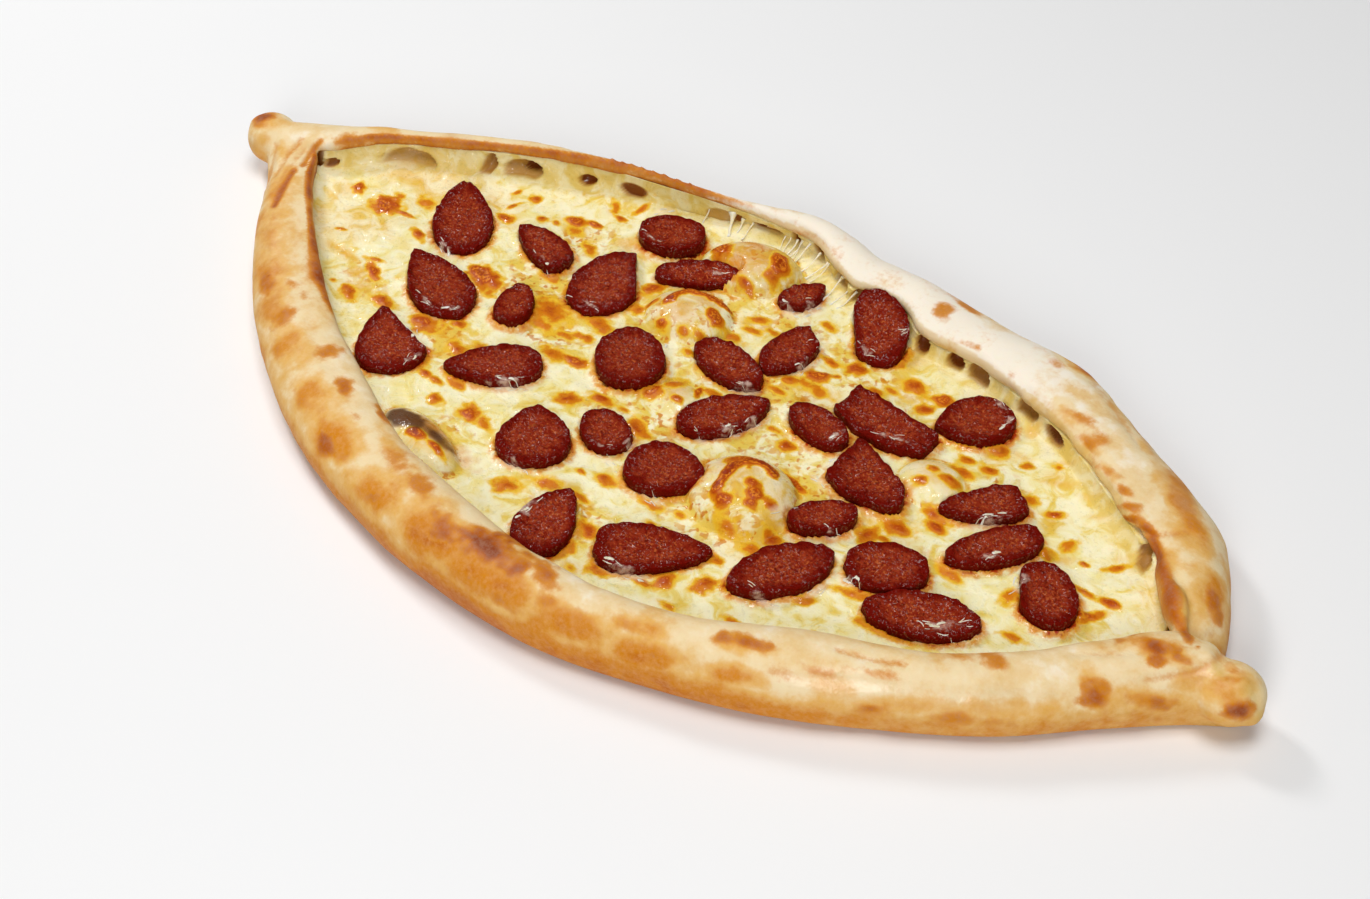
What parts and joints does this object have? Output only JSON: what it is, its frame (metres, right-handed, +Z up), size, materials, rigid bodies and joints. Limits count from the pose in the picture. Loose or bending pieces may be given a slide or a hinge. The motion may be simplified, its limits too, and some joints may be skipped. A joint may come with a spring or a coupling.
{
  "type": "turkish pide",
  "caption": "Baked boat-shaped flatbread with rolled rims pinched into knobs, a browned cheese filling and slices of spiced sausage lying in it.",
  "frame": {"origin": "middle of the bread's box, on the surface it rests on", "axes": "+X along the bread from its left knob to its right knob, +Y across it towards the far rim, +Z up"},
  "size_m": [0.3851, 0.1853, 0.0212],
  "materials": {
    "crust": "baked wheat dough, pale cream to golden with toasted brown spots, slightly glossy",
    "cheese": "molten cheese, cream with yellow oil and toasted orange spots, soft sheen",
    "sausage": "spiced dry sausage, dark red brown, oily and finely grained"
  },
  "bodies": {
    "root": {"dough": "crust", "cheese": "cheese", "sausage_01": "sausage", "sausage_02": "sausage", "sausage_03": "sausage", "sausage_04": "sausage", "sausage_05": "sausage", "sausage_06": "sausage", "sausage_07": "sausage", "sausage_08": "sausage", "sausage_09": "sausage", "sausage_10": "sausage", "sausage_11": "sausage", "sausage_12": "sausage", "sausage_13": "sausage", "sausage_14": "sausage", "sausage_15": "sausage", "sausage_16": "sausage", "sausage_17": "sausage", "sausage_18": "sausage", "sausage_19": "sausage", "sausage_20": "sausage", "sausage_21": "sausage", "sausage_22": "sausage", "sausage_23": "sausage", "sausage_24": "sausage", "sausage_25": "sausage", "sausage_26": "sausage", "sausage_27": "sausage", "sausage_28": "sausage", "sausage_29": "sausage", "sausage_30": "sausage", "sausage_31": "sausage"}
  },
  "joints": []
}
